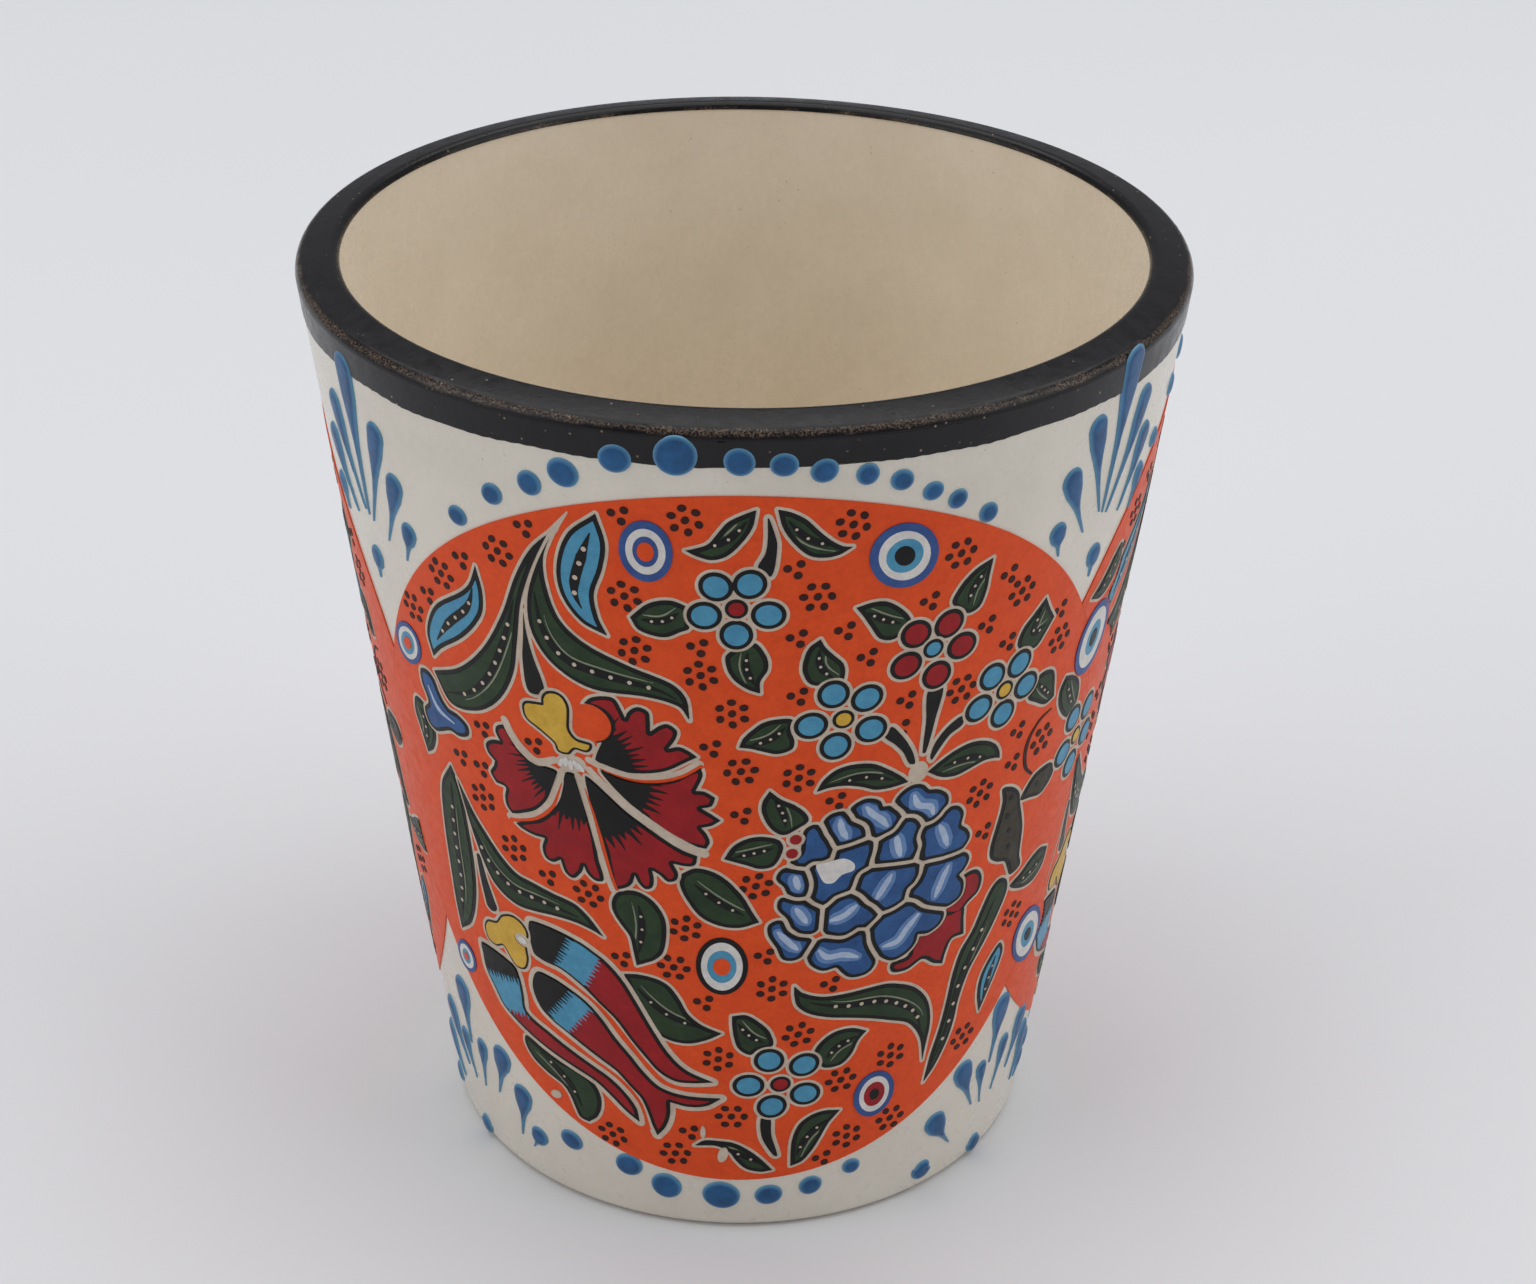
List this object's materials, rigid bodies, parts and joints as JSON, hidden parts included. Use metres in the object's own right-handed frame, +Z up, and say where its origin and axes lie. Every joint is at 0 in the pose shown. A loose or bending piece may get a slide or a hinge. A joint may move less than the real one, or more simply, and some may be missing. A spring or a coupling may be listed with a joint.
{
  "type": "shot cup",
  "caption": "Small tapered glazed ceramic cup with a black lip, round orange floral medallions and raised blue enamel dots and drops.",
  "frame": {"origin": "centre of the foot plane, on the cup's axis", "axes": "+Z up the cup's axis from the foot to the lip; the front medallion faces -Y, +X is to its right"},
  "size_m": [0.052, 0.0522, 0.058],
  "materials": {
    "bisque_clay": "matte unglazed",
    "cream_glaze": "glossy glaze, slightly uneven",
    "beige_glaze": "satin glaze",
    "black_glaze": "semi-gloss, speckled, worn brown at the lip edge",
    "orange_print": "satin printed enamel",
    "green_ink": "satin printed enamel",
    "light_blue_ink": "satin printed enamel",
    "red_ink": "satin printed enamel",
    "deep_blue_ink": "satin printed enamel",
    "bead_ink": "satin printed enamel",
    "blue_enamel": "raised glossy enamel"
  },
  "bodies": {
    "root": {"clay_body": "bisque_clay", "outer_glaze": "cream_glaze", "inner_glaze": "beige_glaze", "rim_band": "black_glaze", "medallion_front": "orange_print", "medallion_right": "orange_print", "medallion_left": "orange_print", "leaves_front": "green_ink", "leaves_right": "green_ink", "leaves_left": "green_ink", "blossoms_front": "light_blue_ink", "blossoms_right": "light_blue_ink", "blossoms_left": "light_blue_ink", "carnation_front": "red_ink", "carnation_right": "red_ink", "carnation_left": "red_ink", "tulip_front": "red_ink", "tulip_right": "red_ink", "tulip_left": "red_ink", "peony_front": "deep_blue_ink", "peony_right": "deep_blue_ink", "peony_left": "deep_blue_ink", "beads_front": "bead_ink", "beads_right": "bead_ink", "beads_left": "bead_ink", "upper_dots_front": "blue_enamel", "upper_dots_right": "blue_enamel", "upper_dots_left": "blue_enamel", "lower_dots_front": "blue_enamel", "lower_dots_right": "blue_enamel", "lower_dots_left": "blue_enamel", "upper_spray_right": "blue_enamel", "upper_spray_left": "blue_enamel", "upper_spray_back": "blue_enamel", "lower_spray_right": "blue_enamel", "lower_spray_left": "blue_enamel", "lower_spray_back": "blue_enamel"}
  },
  "joints": []
}
